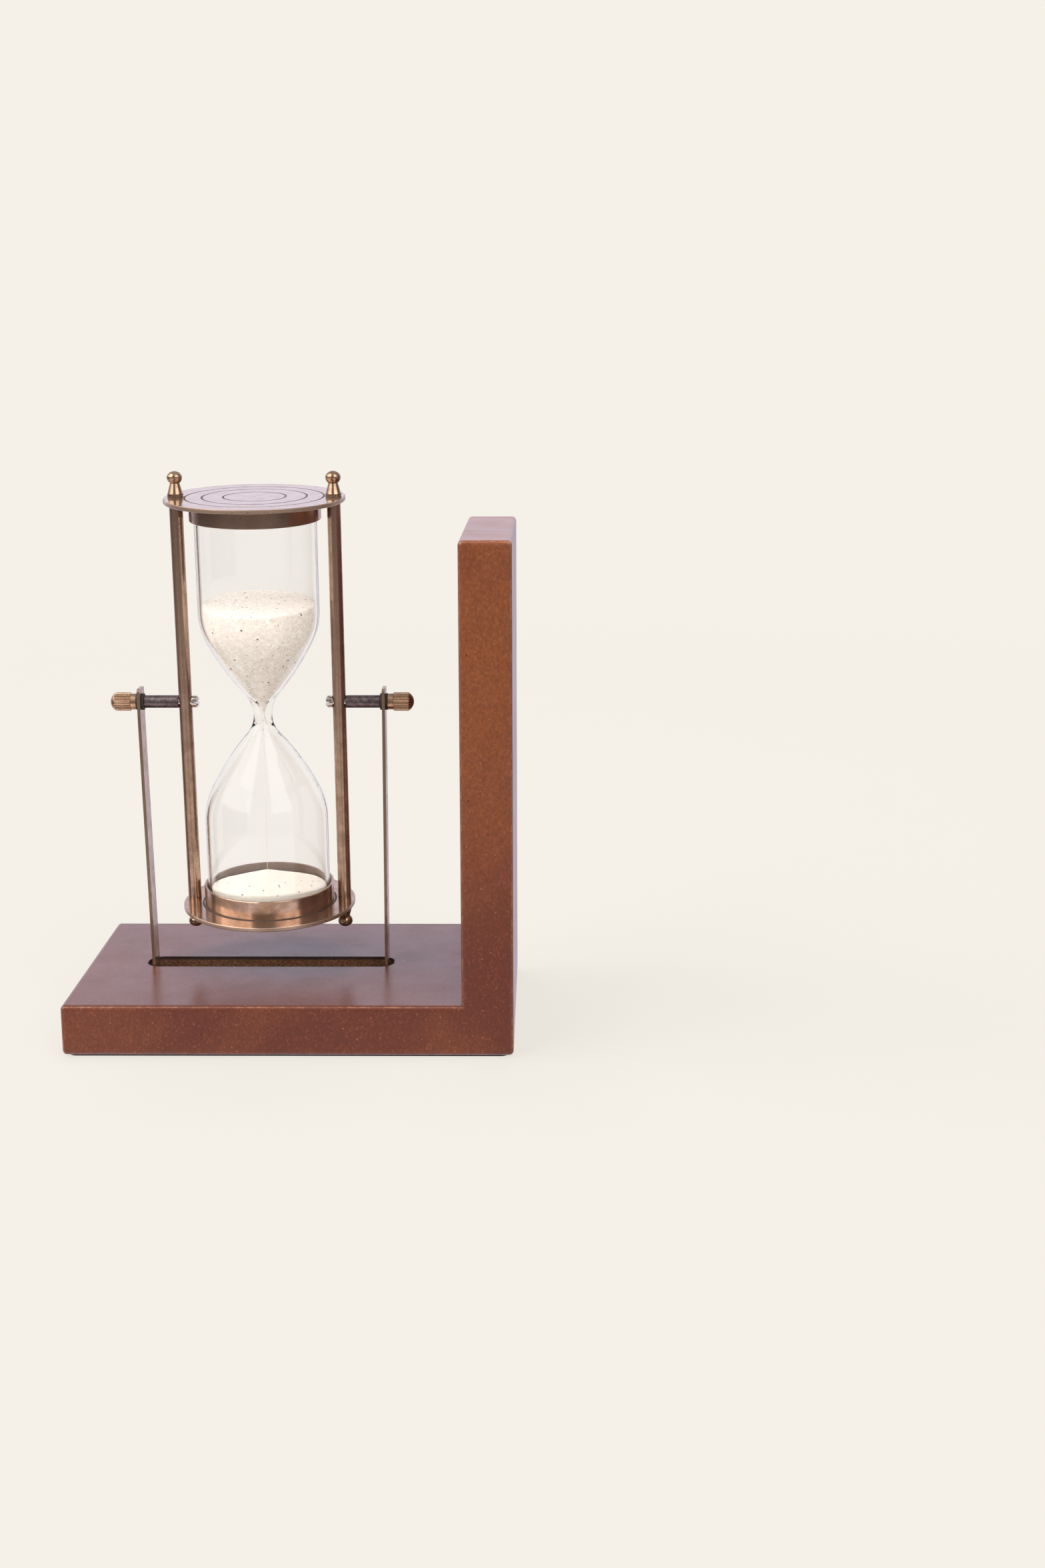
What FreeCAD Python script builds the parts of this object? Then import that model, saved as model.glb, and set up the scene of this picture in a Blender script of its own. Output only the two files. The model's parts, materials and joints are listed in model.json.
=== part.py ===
import FreeCAD, Part
import math
import os

# Hourglass bookend: an L-shaped stand of two mitred boards, a bent strip yoke set in a slot,
# and an hourglass in a brass frame that turns in the yoke on two clamped pivot screws.
# Millimetres. Origin: middle of the footprint, on the underside of the felt. +X points to the
# face that bears on the books, +Y to the back, +Z up. The hourglass's own frame has its origin
# at the pivot, its u axis along X and its w axis along the glass.

# Stand boards; the upright is STAND_H high in front and TOP_FALL lower at the back
BOARD_T = 18.0
BASE_L = 157.4
STAND_D = 102.0
STAND_H = 179.0
TOP_FALL = 1.6
EDGE_R = 1.6
FELT_T = 0.6
FELT_INSET = 1.7
FELT_CORNER_R = 3.0
DOWEL_R = 3.0
DOWEL_L = 16.0
DOWEL_SPREAD = 56.0

# Slot in the base board
SLOT_LEFT_X = -57.1
SLOT_RIGHT_X = 33.7
SLOT_MIDDLE_Y = 0.5
SLOT_W = 12.0
SLOT_CORNER_R = 5.0
SLOT_DEPTH = 10.0

# Pivot
PIVOT_X = -12.1
PIVOT_HEIGHT = 115.9
LEAN_DEG = 3.53

# Yoke strip: the arms stand upright beside the pivot and lean in a little below it
YOKE_T = 1.1
YOKE_W = 8.6
YOKE_HALF_GAP = 43.3
YOKE_FOOT_LEFT_X = -53.6
YOKE_FOOT_RIGHT_X = 30.7
YOKE_ABOVE_PIVOT = 5.1
YOKE_UPRIGHT_BELOW_PIVOT = 5.0
YOKE_BEND_R = 2.0
YOKE_TIP_R = 1.3
YOKE_HOLE_R = 1.55

# Wood screws in the foot of the yoke
FOOT_SCREW_R = 1.4
FOOT_SCREW_L = 7.0
FOOT_SCREW_HEAD_R = 2.75
FOOT_SCREW_HEAD_H = 1.9
FOOT_SCREW_CROWN_R = 1.65
FOOT_SCREW_SPREAD = 56.0

# Plates of the hourglass frame
TOP_PLATE_R = 31.7
BOTTOM_PLATE_R = 31.4
PLATE_T = 1.5
PLATE_EDGE = 0.25
TOP_PLATE_W = 73.8
BOTTOM_PLATE_W = -76.7
RING_RADII = (24.3, 18.3, 10.95)
RING_HALF_WIDTH = 0.22
RING_DEPTH = 0.22
CENTRE_DOT_R = 0.35

# Collars that hold the glass
TOP_COLLAR_R = 23.1
BOTTOM_COLLAR_R = 23.7
COLLAR_WALL = 1.0
COLLAR_EDGE = 0.2
TOP_COLLAR_H = 6.4
BOTTOM_COLLAR_H = 7.0

# Rods between the plates, with reduced studs at both ends
ROD_R = 2.38
ROD_U = 27.7
STUD_R = 1.45
STUD_BEYOND_PLATE = 3.6

# Finial nuts
FINIAL_FOOT_R = 2.82
FINIAL_FOOT_H = 0.95
FINIAL_REVEAL = 0.12
FINIAL_CONE_R = 2.68
FINIAL_NECK_R = 1.68
FINIAL_NECK_H = 4.75
FINIAL_BALL_R = 2.7
FINIAL_CROWN_H = 2.1
FINIAL_CHEEK_R = 1.5
FINIAL_BORE_DEPTH = 4.0

# Glass: the lower bulb was blown a little wider than the upper one
UPPER_GLASS_R = 21.5
UPPER_SHOULDER_D = 37.8
UPPER_SHOULDER_R = 23.9
LOWER_GLASS_R = 22.3
LOWER_SHOULDER_D = 39.4
LOWER_SHOULDER_R = 27.5
GLASS_WALL = 1.2
NECK_W = -4.8
NECK_R = 3.3
CHANNEL_R = 0.55
CUSHION_T = 1.0
END_CORNER_R = 4.0
SHOULDER_DEG = 27.0
FLANK_R = 100.0
FLANK_DEG = 40.0

# Sand
SAND_GAP = 0.1
UPPER_SAND_W = 36.0
UPPER_SAND_TILT_DEG = 3.5
LOWER_SAND_DROP = 57.5
LOWER_SAND_SLOPE_DEG = 17.0
STREAM_R = 0.35

# Pivot hardware, listed outwards from the rod
HEAD_R = 2.15
HEAD_H = 2.35
HEAD_ROUND = 0.6
HEAD_SLOT_W = 0.8
HEAD_SLOT_DEPTH = 1.2
SHANK_R = 1.45
CLEAR_HOLE_R = 1.5
SHANK_IN_NUT = 6.1
SPACER_R = 2.3
SPACER_EDGE = 0.2
WASHER_R = 3.0
WASHER_T = 0.8
CLAMP_GAP = 0.05
NUT_COLLAR_R = 2.9
NUT_COLLAR_L = 1.9
NUT_R = 3.33
NUT_L = 5.4
NUT_DOME_L = 2.0
NUT_EDGE = 0.25
NUT_BORE_DEPTH = 6.8
FLUTES = 24
FLUTE_DEPTH = 0.26
FLUTE_CREST = 0.05

# Worked out from the driving dimensions
BASE_TOP_Z = FELT_T + BOARD_T
PIVOT_Z = FELT_T + PIVOT_HEIGHT
SLOT_FLOOR_Z = BASE_TOP_Z - SLOT_DEPTH
TOP_INNER_W = TOP_PLATE_W - PLATE_T
BOTTOM_INNER_W = BOTTOM_PLATE_W + PLATE_T
UPPER_BULB_L = TOP_INNER_W - CUSHION_T - NECK_W
LOWER_BULB_L = NECK_W - BOTTOM_INNER_W - CUSHION_T
UPPER_BULB = (UPPER_GLASS_R, UPPER_SHOULDER_D, UPPER_SHOULDER_R, UPPER_BULB_L)
LOWER_BULB = (LOWER_GLASS_R, LOWER_SHOULDER_D, LOWER_SHOULDER_R, LOWER_BULB_L)
HEAD_SEAT_U = ROD_U - ROD_R
SPACER_START_U = ROD_U + ROD_R
INNER_WASHER_U = YOKE_HALF_GAP - CLAMP_GAP - WASHER_T
OUTER_WASHER_U = YOKE_HALF_GAP + YOKE_T + CLAMP_GAP
NUT_START_U = OUTER_WASHER_U + WASHER_T + CLAMP_GAP

X_AXIS = FreeCAD.Vector(1, 0, 0)
Z_AXIS = FreeCAD.Vector(0, 0, 1)
ORIGIN = FreeCAD.Vector(0, 0, 0)

# Two lengths closer than this are taken as equal when an edge is picked
NEAR = 0.01


def vec(x, y, z):
    return FreeCAD.Vector(x, y, z)


def slab(points, start, depth):
    """A prism: an outline in the XZ plane, pushed along +Y from y = start."""
    corners = [vec(x, start, z) for x, z in points]
    face = Part.Face(Part.makePolygon(corners + corners[:1]))
    return face.extrude(vec(0, depth, 0))


def turned(points):
    """A solid of revolution about the w axis, from a closed outline of (radius, w) points."""
    corners = [vec(r, 0, w) for r, w in points]
    face = Part.Face(Part.makePolygon(corners + corners[:1]))
    return face.revolve(ORIGIN, Z_AXIS, 360)


def turned_on_pivot(points, side):
    """A solid of revolution about the pivot axis; side is -1 for left and 1 for right."""
    corners = [vec(side * u, 0, r) for u, r in points]
    face = Part.Face(Part.makePolygon(corners + corners[:1]))
    return face.revolve(ORIGIN, X_AXIS, 360)


def rod_along(radius, start, end):
    """A plain cylinder from one point to another."""
    return Part.makeCylinder(radius, (end - start).Length, start, end - start)


def edges_along_z(box):
    return [e for e in box.Edges if abs(e.Vertexes[0].Z - e.Vertexes[-1].Z) > NEAR]


def lean(shape):
    """Move a piece from the hourglass's frame to its resting place in the yoke."""
    rest = FreeCAD.Placement(vec(PIVOT_X, 0, PIVOT_Z), FreeCAD.Rotation(X_AXIS, LEAN_DEG))
    shape.Placement = rest.multiply(shape.Placement)
    return shape


# Stand

def foot_screw_places():
    middle = (YOKE_FOOT_LEFT_X + YOKE_FOOT_RIGHT_X) / 2
    return [middle - FOOT_SCREW_SPREAD / 2, middle + FOOT_SCREW_SPREAD / 2]


def mitre_dowels():
    """Beech dowels, square to the mitre, at the middle of its width."""
    corner = vec(BASE_L / 2 - BOARD_T / 2, 0, FELT_T + BOARD_T / 2)
    reach = vec(1, 0, 1).normalize() * (DOWEL_L / 2)
    dowels = []
    for y in (-DOWEL_SPREAD / 2, DOWEL_SPREAD / 2):
        middle = corner + vec(0, y, 0)
        dowels.append(rod_along(DOWEL_R, middle - reach, middle + reach))
    return Part.makeCompound(dowels)


def space_above_upright():
    """What is sawn off the upright: its top is a little out of square and falls to the back."""
    front_y = -STAND_D
    back_y = STAND_D
    middle_z = FELT_T + STAND_H - TOP_FALL / 2
    front_z = middle_z + TOP_FALL
    back_z = middle_z - TOP_FALL
    corners = [vec(0, front_y, front_z), vec(0, back_y, back_z),
               vec(0, back_y, front_z + TOP_FALL), vec(0, front_y, front_z + TOP_FALL)]
    return Part.Face(Part.makePolygon(corners + corners[:1])).extrude(vec(BASE_L, 0, 0))


def eased_ell():
    """Both boards as one eased L, before the mitre parts them."""
    left = -BASE_L / 2
    right = BASE_L / 2
    inner = right - BOARD_T
    top = FELT_T + STAND_H
    outline = [(left, FELT_T), (right, FELT_T), (right, top), (inner, top),
               (inner, BASE_TOP_Z), (left, BASE_TOP_Z)]
    ell = slab(outline, -STAND_D / 2, STAND_D).cut(space_above_upright())
    inside_corner = vec(inner, 0, BASE_TOP_Z)
    eased = [e for e in ell.Edges if (e.CenterOfMass - inside_corner).Length > EDGE_R]
    return ell.makeFillet(EDGE_R, eased)


def mitre_half():
    """The half of space on the upright's side of the mitre."""
    inner = BASE_L / 2 - BOARD_T
    margin = 10.0
    far = STAND_H + margin
    outline = [(inner - margin, BASE_TOP_Z + margin), (BASE_L / 2 + margin, FELT_T - margin),
               (BASE_L / 2 + margin, far), (inner - margin, far)]
    return slab(outline, -STAND_D / 2 - margin, STAND_D + 2 * margin)


def slot_space():
    """The routed slot, with rounded corners, as a solid to cut away."""
    length = SLOT_RIGHT_X - SLOT_LEFT_X
    above = 5.0
    corner = vec(SLOT_LEFT_X, SLOT_MIDDLE_Y - SLOT_W / 2, SLOT_FLOOR_Z)
    box = Part.makeBox(length, SLOT_W, SLOT_DEPTH + above, corner)
    return box.makeFillet(SLOT_CORNER_R, edges_along_z(box))


def base_board():
    board = eased_ell().cut(mitre_half()).cut(slot_space()).cut(mitre_dowels())
    for x in foot_screw_places():
        tip = vec(x, 0, SLOT_FLOOR_Z + YOKE_T - FOOT_SCREW_L)
        board = board.cut(rod_along(FOOT_SCREW_R, tip, vec(x, 0, BASE_TOP_Z)))
    return board


def upright_board():
    return eased_ell().common(mitre_half()).cut(mitre_dowels())


def felt_pad():
    length = BASE_L - 2 * FELT_INSET
    depth = STAND_D - 2 * FELT_INSET
    pad = Part.makeBox(length, depth, FELT_T, vec(-length / 2, -depth / 2, 0))
    return pad.makeFillet(FELT_CORNER_R, edges_along_z(pad))


def bend_edges(strip, z):
    """The edges that run across the full width of the strip at one height."""
    return [e for e in strip.Edges
            if abs(e.CenterOfMass.y) < NEAR and abs(e.CenterOfMass.z - z) < NEAR
            and abs(e.Length - YOKE_W) < NEAR]


def yoke():
    """One flat strip bent to a U, with a pivot hole in each arm and two screw holes below."""
    tip_z = PIVOT_Z + YOKE_ABOVE_PIVOT
    kink_z = PIVOT_Z - YOKE_UPRIGHT_BELOW_PIVOT
    left_x = PIVOT_X - YOKE_HALF_GAP
    right_x = PIVOT_X + YOKE_HALF_GAP
    foot_z = SLOT_FLOOR_Z + YOKE_T
    inside = [(left_x, tip_z), (left_x, kink_z), (YOKE_FOOT_LEFT_X, foot_z),
              (YOKE_FOOT_RIGHT_X, foot_z), (right_x, kink_z), (right_x, tip_z)]
    outside = [(right_x + YOKE_T, tip_z), (right_x + YOKE_T, kink_z),
               (YOKE_FOOT_RIGHT_X + YOKE_T, SLOT_FLOOR_Z),
               (YOKE_FOOT_LEFT_X - YOKE_T, SLOT_FLOOR_Z),
               (left_x - YOKE_T, kink_z), (left_x - YOKE_T, tip_z)]
    strip = slab(inside + outside, -YOKE_W / 2, YOKE_W)
    strip = strip.makeFillet(YOKE_BEND_R, bend_edges(strip, foot_z))
    strip = strip.makeFillet(YOKE_BEND_R + YOKE_T, bend_edges(strip, SLOT_FLOOR_Z))
    tips = [e for e in strip.Edges
            if abs(e.CenterOfMass.z - tip_z) < NEAR and abs(e.CenterOfMass.y) > YOKE_W / 4]
    strip = strip.makeFillet(YOKE_TIP_R, tips)
    across = vec(BASE_L, 0, 0)
    pivot = vec(PIVOT_X, 0, PIVOT_Z)
    strip = strip.cut(rod_along(YOKE_HOLE_R, pivot - across, pivot + across))
    for x in foot_screw_places():
        hole = rod_along(FOOT_SCREW_R, vec(x, 0, 0), vec(x, 0, BASE_TOP_Z))
        strip = strip.cut(hole)
    return strip


def yoke_screws():
    """Two slotted round-head wood screws."""
    seat_z = SLOT_FLOOR_Z + YOKE_T
    point_l = 2 * FOOT_SCREW_R
    outline = [(0, seat_z - FOOT_SCREW_L), (FOOT_SCREW_R, seat_z - FOOT_SCREW_L + point_l),
               (FOOT_SCREW_R, seat_z), (FOOT_SCREW_HEAD_R, seat_z),
               (FOOT_SCREW_HEAD_R, seat_z + FOOT_SCREW_HEAD_H / 2),
               (FOOT_SCREW_CROWN_R, seat_z + FOOT_SCREW_HEAD_H),
               (0, seat_z + FOOT_SCREW_HEAD_H)]
    screws = []
    for x in foot_screw_places():
        screw = turned(outline)
        screw.translate(vec(x, 0, 0))
        corner = vec(x - HEAD_SLOT_W / 2, -FOOT_SCREW_HEAD_R, seat_z + FOOT_SCREW_HEAD_H / 2)
        driver_slot = Part.makeBox(HEAD_SLOT_W, 2 * FOOT_SCREW_HEAD_R, FOOT_SCREW_HEAD_H, corner)
        screws.append(screw.cut(driver_slot))
    return Part.makeCompound(screws)


# Hourglass frame

def plate(radius, outer_w, outward):
    """A disc with turned rings on its outer face; outward is 1 at the top and -1 below."""
    inner_w = outer_w - outward * PLATE_T
    disc = turned([(0, inner_w), (radius - PLATE_EDGE, inner_w),
                   (radius, inner_w + outward * PLATE_EDGE),
                   (radius, outer_w - outward * PLATE_EDGE),
                   (radius - PLATE_EDGE, outer_w), (0, outer_w)])
    lift = outward * RING_DEPTH
    for r in RING_RADII:
        groove = turned([(r - 2 * RING_HALF_WIDTH, outer_w + lift), (r, outer_w - lift),
                         (r + 2 * RING_HALF_WIDTH, outer_w + lift)])
        disc = disc.cut(groove)
    dot = turned([(0, outer_w - outward * CENTRE_DOT_R),
                  (2 * CENTRE_DOT_R, outer_w + outward * CENTRE_DOT_R),
                  (0, outer_w + outward * CENTRE_DOT_R)])
    disc = disc.cut(dot)
    for u in (-ROD_U, ROD_U):
        below = vec(u, 0, inner_w - outward * PLATE_T)
        above = vec(u, 0, outer_w + outward * PLATE_T)
        disc = disc.cut(rod_along(CLEAR_HOLE_R, below, above))
    return lean(disc)


def collar(radius, plate_w, outward, height):
    """A plain ring that stands on the inner face of a plate."""
    rim_w = plate_w - outward * height
    inner_r = radius - COLLAR_WALL
    shoulder_w = rim_w + outward * COLLAR_EDGE
    ring = turned([(inner_r, plate_w), (radius, plate_w), (radius, shoulder_w),
                   (radius - COLLAR_EDGE, rim_w), (inner_r + COLLAR_EDGE, rim_w),
                   (inner_r, shoulder_w)])
    return lean(ring)


def cushion(glass_r, plate_w, outward):
    """A thin disc between a plate and the closed end of the glass."""
    inner_w = plate_w - outward * CUSHION_T
    radius = glass_r - END_CORNER_R / 2
    return lean(turned([(0, inner_w), (radius, inner_w), (radius, plate_w), (0, plate_w)]))


def frame_rod(side):
    """A round rod with a reduced stud at each end and a cross hole for its pivot screw."""
    top_w = TOP_PLATE_W + STUD_BEYOND_PLATE
    bottom_w = BOTTOM_PLATE_W - STUD_BEYOND_PLATE
    rod = turned([(0, bottom_w), (STUD_R, bottom_w), (STUD_R, BOTTOM_INNER_W),
                  (ROD_R, BOTTOM_INNER_W), (ROD_R, TOP_INNER_W), (STUD_R, TOP_INNER_W),
                  (STUD_R, top_w), (0, top_w)])
    rod.translate(vec(side * ROD_U, 0, 0))
    near = vec(side * (ROD_U - 2 * ROD_R), 0, 0)
    far = vec(side * (ROD_U + 2 * ROD_R), 0, 0)
    return lean(rod.cut(rod_along(CLEAR_HOLE_R, near, far)))


def finial(side, plate_w, outward):
    """A turned nut: a short foot, a cone up to a neck, and a ball with a flattened crown."""
    ball_h = FINIAL_NECK_H + math.sqrt(FINIAL_BALL_R ** 2 - FINIAL_NECK_R ** 2)
    cheek_u = FINIAL_BALL_R - FINIAL_CHEEK_R
    crown_drop = FINIAL_CROWN_H - FINIAL_CHEEK_R
    crown_r = (cheek_u ** 2 + FINIAL_CROWN_H ** 2 - FINIAL_CHEEK_R ** 2) / (2 * crown_drop)
    crown_centre_h = ball_h + FINIAL_CROWN_H - crown_r
    crown_angle = math.atan2(ball_h - crown_centre_h, cheek_u)

    def around(u, h, radius, angle):
        return vec(u + radius * math.cos(angle), 0, h + radius * math.sin(angle))

    foot = [vec(0, 0, 0), vec(FINIAL_FOOT_R, 0, 0), vec(FINIAL_FOOT_R, 0, FINIAL_FOOT_H),
            vec(FINIAL_CONE_R, 0, FINIAL_FOOT_H),
            vec(FINIAL_CONE_R, 0, FINIAL_FOOT_H + FINIAL_REVEAL),
            vec(FINIAL_NECK_R, 0, FINIAL_NECK_H)]
    edges = [Part.makeLine(a, b) for a, b in zip(foot, foot[1:])]
    widest = vec(FINIAL_BALL_R, 0, ball_h)
    under_ball = around(0, ball_h, FINIAL_BALL_R, math.radians(-25))
    cheek_middle = around(cheek_u, ball_h, FINIAL_CHEEK_R, crown_angle / 2)
    crown_start = around(cheek_u, ball_h, FINIAL_CHEEK_R, crown_angle)
    crown_middle = around(0, crown_centre_h, crown_r, (crown_angle + math.pi / 2) / 2)
    tip = vec(0, 0, ball_h + FINIAL_CROWN_H)
    edges.append(Part.Arc(foot[-1], under_ball, widest).toShape())
    edges.append(Part.Arc(widest, cheek_middle, crown_start).toShape())
    edges.append(Part.Arc(crown_start, crown_middle, tip).toShape())
    edges.append(Part.makeLine(tip, foot[0]))
    nut = Part.Face(Part.Wire(edges)).revolve(ORIGIN, Z_AXIS, 360)
    nut = nut.cut(Part.makeCylinder(CLEAR_HOLE_R, FINIAL_BORE_DEPTH))
    if outward < 0:
        nut.rotate(ORIGIN, X_AXIS, 180)
    nut.translate(vec(side * ROD_U, 0, plate_w))
    return lean(nut)


# Glass and sand

def bulb_outline(bulb, inset, neck_r):
    """Half outline of one bulb as edges of (radius, distance from the neck), closed end first.

    inset is how far the outline lies inside the outer surface of the glass. A flank of large
    radius runs into a tighter shoulder, and a waist arc is worked out to meet the neck.
    """
    glass_r, shoulder_d, shoulder_r, length = bulb
    shoulder = math.radians(SHOULDER_DEG)
    flank = math.radians(FLANK_DEG)
    side_r = glass_r - inset
    end_d = length - inset
    corner_r = END_CORNER_R - inset

    def on_arc(centre, radius, angle):
        return vec(centre.x + radius * math.cos(angle), 0, centre.z - radius * math.sin(angle))

    corner_centre = vec(side_r - corner_r, 0, end_d - corner_r)
    shoulder_centre = vec(glass_r - shoulder_r, 0, shoulder_d)
    flank_centre = on_arc(shoulder_centre, shoulder_r - FLANK_R, shoulder)
    corner_start = on_arc(corner_centre, corner_r, math.radians(-90))
    corner_middle = on_arc(corner_centre, corner_r, math.radians(-45))
    corner_end = on_arc(corner_centre, corner_r, 0)
    shoulder_start = on_arc(shoulder_centre, shoulder_r - inset, 0)
    shoulder_middle = on_arc(shoulder_centre, shoulder_r - inset, shoulder / 2)
    flank_start = on_arc(shoulder_centre, shoulder_r - inset, shoulder)
    flank_middle = on_arc(flank_centre, FLANK_R - inset, (shoulder + flank) / 2)
    flank_end = on_arc(flank_centre, FLANK_R - inset, flank)
    rise = math.tan(flank) * flank_end.z - (flank_end.x - neck_r)
    waist_r = rise / (math.tan(flank) * math.sin(flank) - 1 + math.cos(flank))
    waist_centre = vec(neck_r + waist_r, 0, 0)

    def on_waist(angle):
        return vec(waist_centre.x - waist_r * math.cos(angle), 0, waist_r * math.sin(angle))

    return [
        Part.makeLine(vec(0, 0, end_d), corner_start),
        Part.Arc(corner_start, corner_middle, corner_end).toShape(),
        Part.makeLine(corner_end, shoulder_start),
        Part.Arc(shoulder_start, shoulder_middle, flank_start).toShape(),
        Part.Arc(flank_start, flank_middle, flank_end).toShape(),
        Part.makeLine(flank_end, on_waist(flank)),
        Part.Arc(on_waist(flank), on_waist(flank / 2), on_waist(0)).toShape(),
    ]


def bulb_solid(bulb, inset, neck_r):
    """One bulb as a solid, from its closed end to the middle of the neck."""
    edges = bulb_outline(bulb, inset, neck_r)
    closed_end = edges[0].Vertexes[0].Point
    edges.append(Part.makeLine(vec(neck_r, 0, 0), ORIGIN))
    edges.append(Part.makeLine(ORIGIN, closed_end))
    solid = Part.Face(Part.Wire(edges)).revolve(ORIGIN, Z_AXIS, 360)
    if bulb is LOWER_BULB:
        solid.rotate(ORIGIN, X_AXIS, 180)
    solid.translate(vec(0, 0, NECK_W))
    return solid


def both_bulbs(inset, neck_r):
    upper = bulb_solid(UPPER_BULB, inset, neck_r)
    lower = bulb_solid(LOWER_BULB, inset, neck_r)
    return upper.fuse(lower).removeSplitter()


def glass():
    """One blown wall, sealed at both ends, with the bulbs joined by a fine channel."""
    return lean(both_bulbs(0, NECK_R).cut(both_bulbs(GLASS_WALL, CHANNEL_R)))


def sand_upper():
    """The sand above the neck, cut off by its slightly tilted surface."""
    filled = bulb_solid(UPPER_BULB, GLASS_WALL + SAND_GAP, CHANNEL_R - SAND_GAP)
    size = 4 * UPPER_GLASS_R
    empty = Part.makeBox(size, size, size, vec(-size / 2, -size / 2, 0))
    empty.rotate(ORIGIN, X_AXIS, UPPER_SAND_TILT_DEG)
    empty.translate(vec(0, 0, UPPER_SAND_W))
    return lean(filled.cut(empty))


def below_neck(shape):
    """Hang a piece, made about a plumb line from the origin, from the middle of the neck."""
    shape.rotate(ORIGIN, X_AXIS, -LEAN_DEG)
    shape.translate(vec(0, 0, NECK_W))
    return shape


def sand_lower():
    """The sand below, heaped in a cone where the stream lands."""
    filled = bulb_solid(LOWER_BULB, GLASS_WALL + SAND_GAP, CHANNEL_R - SAND_GAP)
    reach = 2 * LOWER_GLASS_R
    fall = reach * math.tan(math.radians(LOWER_SAND_SLOPE_DEG))
    heap = turned([(0, -LOWER_SAND_DROP), (reach, -LOWER_SAND_DROP - fall),
                   (reach, -2 * LOWER_BULB_L), (0, -2 * LOWER_BULB_L)])
    return lean(filled.common(below_neck(heap)))


def sand_stream():
    stream = rod_along(STREAM_R, vec(0, 0, -LOWER_SAND_DROP), vec(0, 0, -SAND_GAP))
    return lean(below_neck(stream))


# Pivot hardware

def pivot_screw(side):
    """A slotted screw through the rod, the spacer, the yoke arm and into the thumb nut."""
    tip_u = NUT_START_U + SHANK_IN_NUT
    head_u = HEAD_SEAT_U - HEAD_H
    screw = turned_on_pivot([(head_u, 0), (head_u, HEAD_R - HEAD_ROUND),
                             (head_u + HEAD_ROUND, HEAD_R), (HEAD_SEAT_U, HEAD_R),
                             (HEAD_SEAT_U, SHANK_R), (tip_u, SHANK_R), (tip_u, 0)], side)
    near_u = side * (head_u + HEAD_SLOT_DEPTH)
    far_u = side * (head_u - HEAD_SLOT_DEPTH)
    corner = vec(min(near_u, far_u), -HEAD_R, -HEAD_SLOT_W / 2)
    driver_slot = Part.makeBox(2 * HEAD_SLOT_DEPTH, 2 * HEAD_R, HEAD_SLOT_W, corner)
    return lean(screw.cut(driver_slot))


def sleeve(start_u, end_u, radius, edge, side):
    """A tube round the pivot screw, with both outer edges broken."""
    tube = turned_on_pivot([(start_u, CLEAR_HOLE_R), (start_u, radius - edge),
                            (start_u + edge, radius), (end_u - edge, radius),
                            (end_u, radius - edge), (end_u, CLEAR_HOLE_R)], side)
    return lean(tube)


def spacer(side):
    return sleeve(SPACER_START_U, INNER_WASHER_U, SPACER_R, SPACER_EDGE, side)


def inner_washer(side):
    return sleeve(INNER_WASHER_U, INNER_WASHER_U + WASHER_T, WASHER_R, SPACER_EDGE / 2, side)


def outer_washer(side):
    return sleeve(OUTER_WASHER_U, OUTER_WASHER_U + WASHER_T, WASHER_R, SPACER_EDGE / 2, side)


def fluted_bar(start_u, end_u, side):
    """A bar whose section is a ring of V flutes, with crests that stand past the barrel."""
    ridge = []
    for i in range(2 * FLUTES):
        r = NUT_R + FLUTE_CREST if i % 2 else NUT_R - FLUTE_DEPTH
        angle = math.pi * i / FLUTES
        ridge.append(vec(side * start_u, r * math.cos(angle), r * math.sin(angle)))
    face = Part.Face(Part.makePolygon(ridge + ridge[:1]))
    return face.extrude(vec(side * (end_u - start_u), 0, 0))


def domed_barrel(start_u, dome_u, side):
    """A turned bar with an eased start and a domed end."""
    tip_u = dome_u + NUT_DOME_L
    dome_r = (NUT_R ** 2 + NUT_DOME_L ** 2) / (2 * NUT_DOME_L)
    centre_u = tip_u - dome_r
    half_angle = math.asin(NUT_R / dome_r) / 2
    outline = [vec(side * start_u, 0, 0), vec(side * start_u, 0, NUT_R - NUT_EDGE),
               vec(side * (start_u + NUT_EDGE), 0, NUT_R), vec(side * dome_u, 0, NUT_R)]
    dome_middle = vec(side * (centre_u + dome_r * math.cos(half_angle)), 0,
                      dome_r * math.sin(half_angle))
    tip = vec(side * tip_u, 0, 0)
    edges = [Part.makeLine(a, b) for a, b in zip(outline, outline[1:])]
    edges.append(Part.Arc(outline[-1], dome_middle, tip).toShape())
    edges.append(Part.makeLine(tip, outline[0]))
    return Part.Face(Part.Wire(edges)).revolve(ORIGIN, X_AXIS, 360)


def thumb_nut(side):
    """A plain collar, a fluted barrel and a domed end, with a blind bore for the screw."""
    barrel_u = NUT_START_U + NUT_COLLAR_L
    dome_u = barrel_u + NUT_L
    start = vec(side * NUT_START_U, 0, 0)
    bore_end = vec(side * (NUT_START_U + NUT_BORE_DEPTH), 0, 0)
    plain = rod_along(NUT_COLLAR_R, start, vec(side * barrel_u, 0, 0))
    fluted = fluted_bar(barrel_u - NUT_EDGE, dome_u + 2 * NUT_DOME_L, side)
    barrel = domed_barrel(barrel_u, dome_u, side).common(fluted)
    return lean(plain.fuse(barrel).cut(rod_along(CLEAR_HOLE_R, start, bore_end)))


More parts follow.
